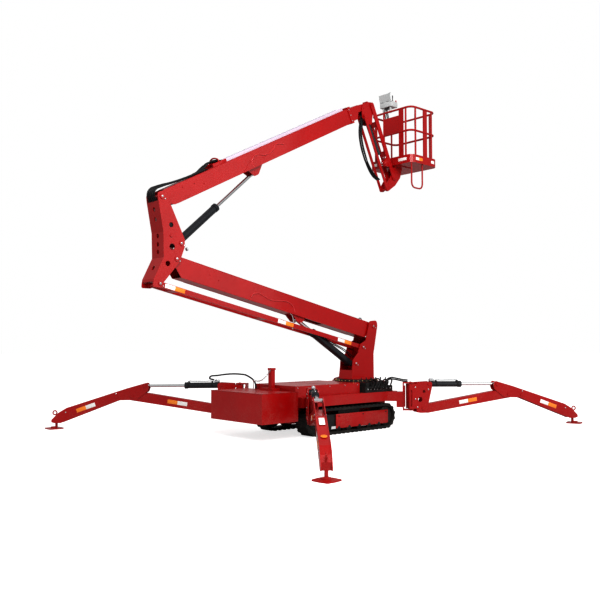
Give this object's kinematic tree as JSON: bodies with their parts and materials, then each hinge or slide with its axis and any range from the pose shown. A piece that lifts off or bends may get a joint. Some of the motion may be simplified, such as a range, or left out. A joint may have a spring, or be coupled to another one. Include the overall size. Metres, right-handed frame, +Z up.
{
  "type": "tracked articulating boom lift",
  "caption": "Compact tracked work platform with spread outriggers, a slewing turret, an articulated telescopic boom, a hinged jib and a railed cage for one or two people.",
  "frame": {"origin": "middle of the machine's ground footprint, on the ground under the tracks and the feet", "axes": "+X towards the end of the machine that the cage and the upper boom point to, +Y to the side of the chassis without the valve block, +Z up"},
  "size_m": [7.628, 6.7244, 6.1606],
  "materials": {
    "red_paint": "gloss",
    "black_paint": "satin",
    "chrome": "polished",
    "rubber": "matte",
    "grey_plastic": "matte"
  },
  "bodies": {
    "chassis": {"chassis_frame": "red_paint", "deck_cover": "red_paint", "power_cover": "red_paint", "engine_block": "black_paint", "boom_rest": "red_paint", "valve_block": "black_paint", "slew_ring": "black_paint", "track_belt_near": "rubber", "track_belt_far": "rubber", "track_frame_near": "red_paint", "track_frame_far": "red_paint"},
    "turret": {"turret": "red_paint"},
    "lower_boom": {"lower_boom": "red_paint"},
    "level_links": {"level_links": "red_paint"},
    "lower_cylinder_barrel": {"lower_cylinder_barrel": "black_paint"},
    "lower_cylinder_rod": {"lower_cylinder_rod": "chrome"},
    "elbow": {"elbow": "red_paint"},
    "upper_boom": {"upper_boom": "red_paint", "hose_tray": "grey_plastic"},
    "inner_boom": {"inner_boom": "red_paint"},
    "upper_cylinder_barrel": {"upper_cylinder_barrel": "black_paint"},
    "upper_cylinder_rod": {"upper_cylinder_rod": "chrome"},
    "boom_head": {"boom_head": "red_paint"},
    "jib_arm_front": {"jib_arm_front": "red_paint"},
    "jib_arm_rear": {"jib_arm_rear": "red_paint"},
    "jib_cylinder_barrel": {"jib_cylinder_barrel": "black_paint"},
    "jib_cylinder_rod": {"jib_cylinder_rod": "chrome"},
    "cage": {"cage_mount": "red_paint", "cage_floor": "red_paint", "cage_frame": "red_paint", "cage_panel": "red_paint", "step_hoop": "black_paint", "control_box": "grey_plastic"},
    "leg_front_near_bracket": {"leg_front_near_bracket": "red_paint"},
    "leg_front_near_arm": {"leg_front_near_inner_arm": "red_paint", "leg_front_near_outer_arm": "red_paint", "leg_front_near_foot": "red_paint"},
    "leg_front_near_cylinder_barrel": {"leg_front_near_cylinder_barrel": "black_paint"},
    "leg_front_near_cylinder_rod": {"leg_front_near_cylinder_rod": "chrome"},
    "leg_front_far_bracket": {"leg_front_far_bracket": "red_paint"},
    "leg_front_far_arm": {"leg_front_far_inner_arm": "red_paint", "leg_front_far_outer_arm": "red_paint", "leg_front_far_foot": "red_paint"},
    "leg_front_far_cylinder_barrel": {"leg_front_far_cylinder_barrel": "black_paint"},
    "leg_front_far_cylinder_rod": {"leg_front_far_cylinder_rod": "chrome"},
    "leg_rear_near_bracket": {"leg_rear_near_bracket": "red_paint"},
    "leg_rear_near_arm": {"leg_rear_near_inner_arm": "red_paint", "leg_rear_near_outer_arm": "red_paint", "leg_rear_near_foot": "red_paint"},
    "leg_rear_near_cylinder_barrel": {"leg_rear_near_cylinder_barrel": "black_paint"},
    "leg_rear_near_cylinder_rod": {"leg_rear_near_cylinder_rod": "chrome"},
    "leg_rear_far_bracket": {"leg_rear_far_bracket": "red_paint"},
    "leg_rear_far_arm": {"leg_rear_far_inner_arm": "red_paint", "leg_rear_far_outer_arm": "red_paint", "leg_rear_far_foot": "red_paint"},
    "leg_rear_far_cylinder_barrel": {"leg_rear_far_cylinder_barrel": "black_paint"},
    "leg_rear_far_cylinder_rod": {"leg_rear_far_cylinder_rod": "chrome"}
  },
  "joints": [
    {"name": "slew", "type": "hinge", "parent": "chassis", "child": "turret", "pos_m": [0.45741, 0.0766, 0], "axis": [0, 0, 1], "continuous": true},
    {"name": "lower_boom", "type": "hinge", "parent": "turret", "child": "lower_boom", "pos_m": [0.73741, 0.0766, 1.752], "axis": [0, 1, 0], "range_deg": [-23, 45]},
    {"name": "level_links", "type": "hinge", "parent": "turret", "child": "level_links", "pos_m": [0.46741, 0.0766, 1.385], "axis": [0, 1, 0], "range_deg": [-24, 46]},
    {"name": "elbow", "type": "hinge", "parent": "lower_boom", "child": "elbow", "pos_m": [-3.39557, 0.0766, 2.66675], "axis": [0, 1, 0], "range_deg": [-46, 24]},
    {"name": "lower_cylinder_barrel", "type": "hinge", "parent": "turret", "child": "lower_cylinder_barrel", "pos_m": [0.28241, 0.0766, 1.1], "axis": [0, 1, 0], "range_deg": [-22.8, 43.65]},
    {"name": "lower_cylinder_rod", "type": "slide", "parent": "lower_cylinder_barrel", "child": "lower_cylinder_rod", "axis": [-0.8599, 0, 0.5105], "range_m": [-0.3098, 0.6024]},
    {"name": "upper_boom", "type": "hinge", "parent": "elbow", "child": "upper_boom", "pos_m": [-3.64757, 0.0766, 3.53175], "axis": [0, -1, 0], "range_deg": [-20, 35]},
    {"name": "upper_cylinder_barrel", "type": "hinge", "parent": "elbow", "child": "upper_cylinder_barrel", "pos_m": [-3.32257, 0.0766, 2.89375], "axis": [0, -1, 0], "range_deg": [-18.4, 31.45]},
    {"name": "upper_cylinder_rod", "type": "slide", "parent": "upper_cylinder_barrel", "child": "upper_cylinder_rod", "axis": [0.7516, 0, 0.6596], "range_m": [-0.2382, 0.4138]},
    {"name": "telescope", "type": "slide", "parent": "upper_boom", "child": "inner_boom", "axis": [0.8878, 0, 0.4602], "range_m": [0, 3.2]},
    {"name": "boom_head", "type": "hinge", "parent": "inner_boom", "child": "boom_head", "pos_m": [0.60539, 0.0766, 5.71375], "axis": [0, -1, 0], "range_deg": [-36, 21]},
    {"name": "jib", "type": "hinge", "parent": "boom_head", "child": "jib_arm_front", "pos_m": [0.81741, 0.0766, 5.785], "axis": [0, -1, 0], "range_deg": [0, 75]},
    {"name": "jib_rear", "type": "hinge", "parent": "boom_head", "child": "jib_arm_rear", "pos_m": [0.62241, 0.0766, 5.545], "axis": [0, -1, 0], "range_deg": [-1, 76]},
    {"name": "cage_level", "type": "hinge", "parent": "jib_arm_front", "child": "cage", "pos_m": [1.41741, 0.0766, 4.535], "axis": [0, -1, 0], "range_deg": [-76, 1]},
    {"name": "jib_cylinder_barrel", "type": "hinge", "parent": "boom_head", "child": "jib_cylinder_barrel", "pos_m": [0.77741, 0.0766, 5.47], "axis": [0, -1, 0], "range_deg": [-1, 83.99]},
    {"name": "jib_cylinder_rod", "type": "slide", "parent": "jib_cylinder_barrel", "child": "jib_cylinder_rod", "axis": [0.4719, 0, -0.8817], "range_m": [-0.004, 0.3608]},
    {"name": "leg_front_near_swing", "type": "hinge", "parent": "chassis", "child": "leg_front_near_bracket", "pos_m": [0.86741, -0.8084, 0.55], "axis": [0, 0, -1], "range_deg": [-23.3, 31.7]},
    {"name": "leg_front_near_lift", "type": "hinge", "parent": "leg_front_near_bracket", "child": "leg_front_near_arm", "pos_m": [1.04791, -0.90559, 0.338], "axis": [-0.4741, -0.8805, 0], "range_deg": [-5, 45]},
    {"name": "leg_front_near_cylinder_barrel", "type": "hinge", "parent": "leg_front_near_bracket", "child": "leg_front_near_cylinder_barrel", "pos_m": [1.14476, -0.95774, 0.748], "axis": [-0.4741, -0.8805, 0], "range_deg": [-7.03, 55.29]},
    {"name": "leg_front_near_cylinder_rod", "type": "slide", "parent": "leg_front_near_cylinder_barrel", "child": "leg_front_near_cylinder_rod", "axis": [0.8804, -0.474, -0.0132], "range_m": [-0.2602, 0.0325]},
    {"name": "leg_front_far_swing", "type": "hinge", "parent": "chassis", "child": "leg_front_far_bracket", "pos_m": [0.86741, 0.9616, 0.55], "axis": [0, 0, 1], "range_deg": [-23.3, 31.7]},
    {"name": "leg_front_far_lift", "type": "hinge", "parent": "leg_front_far_bracket", "child": "leg_front_far_arm", "pos_m": [1.04791, 1.05879, 0.338], "axis": [0.4741, -0.8805, 0], "range_deg": [-5, 45]},
    {"name": "leg_front_far_cylinder_barrel", "type": "hinge", "parent": "leg_front_far_bracket", "child": "leg_front_far_cylinder_barrel", "pos_m": [1.14476, 1.11094, 0.748], "axis": [0.4741, -0.8805, 0], "range_deg": [-7.03, 55.29]},
    {"name": "leg_front_far_cylinder_rod", "type": "slide", "parent": "leg_front_far_cylinder_barrel", "child": "leg_front_far_cylinder_rod", "axis": [0.8804, 0.474, -0.0132], "range_m": [-0.2602, 0.0325]},
    {"name": "leg_rear_near_swing", "type": "hinge", "parent": "chassis", "child": "leg_rear_near_bracket", "pos_m": [-1.45259, -0.8084, 0.55], "axis": [0, 0, 1], "range_deg": [-44.6, 10.4]},
    {"name": "leg_rear_near_lift", "type": "hinge", "parent": "leg_rear_near_bracket", "child": "leg_rear_near_arm", "pos_m": [-1.58545, -0.96452, 0.338], "axis": [-0.7615, 0.6481, 0], "range_deg": [-5, 45]},
    {"name": "leg_rear_near_cylinder_barrel", "type": "hinge", "parent": "leg_rear_near_bracket", "child": "leg_rear_near_cylinder_barrel", "pos_m": [-1.65674, -1.04828, 0.748], "axis": [-0.7615, 0.6481, 0], "range_deg": [-7.03, 55.29]},
    {"name": "leg_rear_near_cylinder_rod", "type": "slide", "parent": "leg_rear_near_cylinder_barrel", "child": "leg_rear_near_cylinder_rod", "axis": [-0.6481, -0.7615, -0.0132], "range_m": [-0.2602, 0.0325]},
    {"name": "leg_rear_far_swing", "type": "hinge", "parent": "chassis", "child": "leg_rear_far_bracket", "pos_m": [-1.45259, 0.9616, 0.55], "axis": [0, 0, -1], "range_deg": [-40.5, 14.5]},
    {"name": "leg_rear_far_lift", "type": "hinge", "parent": "leg_rear_far_bracket", "child": "leg_rear_far_arm", "pos_m": [-1.59627, 1.10782, 0.338], "axis": [0.7133, 0.7009, 0], "range_deg": [-5, 45]},
    {"name": "leg_rear_far_cylinder_barrel", "type": "hinge", "parent": "leg_rear_far_bracket", "child": "leg_rear_far_cylinder_barrel", "pos_m": [-1.67337, 1.18627, 0.748], "axis": [0.7133, 0.7009, 0], "range_deg": [-7.03, 55.29]},
    {"name": "leg_rear_far_cylinder_rod", "type": "slide", "parent": "leg_rear_far_cylinder_barrel", "child": "leg_rear_far_cylinder_rod", "axis": [-0.7008, 0.7132, -0.0132], "range_m": [-0.2602, 0.0325]}
  ],
  "couplings": [
    {"joint": "level_links", "follows": "lower_boom", "ratio": 1},
    {"joint": "elbow", "follows": "lower_boom", "ratio": -1},
    {"joint": "lower_cylinder_barrel", "follows": "lower_boom", "ratio": 0.9478},
    {"joint": "lower_cylinder_rod", "follows": "lower_boom", "m_per_rad": 0.7619},
    {"joint": "upper_cylinder_barrel", "follows": "upper_boom", "ratio": 0.87},
    {"joint": "upper_cylinder_rod", "follows": "upper_boom", "m_per_rad": 0.6709},
    {"joint": "boom_head", "follows": "upper_boom", "ratio": -1},
    {"joint": "jib_rear", "follows": "jib", "ratio": 1},
    {"joint": "cage_level", "follows": "jib", "ratio": -1},
    {"joint": "jib_cylinder_barrel", "follows": "jib", "ratio": 1.1065},
    {"joint": "jib_cylinder_rod", "follows": "jib", "m_per_rad": 0.2726},
    {"joint": "leg_front_near_cylinder_barrel", "follows": "leg_front_near_lift", "ratio": 1.2064},
    {"joint": "leg_front_near_cylinder_rod", "follows": "leg_front_near_lift", "m_per_rad": -0.3262},
    {"joint": "leg_front_far_cylinder_barrel", "follows": "leg_front_far_lift", "ratio": 1.2064},
    {"joint": "leg_front_far_cylinder_rod", "follows": "leg_front_far_lift", "m_per_rad": -0.3262},
    {"joint": "leg_rear_near_cylinder_barrel", "follows": "leg_rear_near_lift", "ratio": 1.2064},
    {"joint": "leg_rear_near_cylinder_rod", "follows": "leg_rear_near_lift", "m_per_rad": -0.3262},
    {"joint": "leg_rear_far_cylinder_barrel", "follows": "leg_rear_far_lift", "ratio": 1.2064},
    {"joint": "leg_rear_far_cylinder_rod", "follows": "leg_rear_far_lift", "m_per_rad": -0.3262}
  ]
}
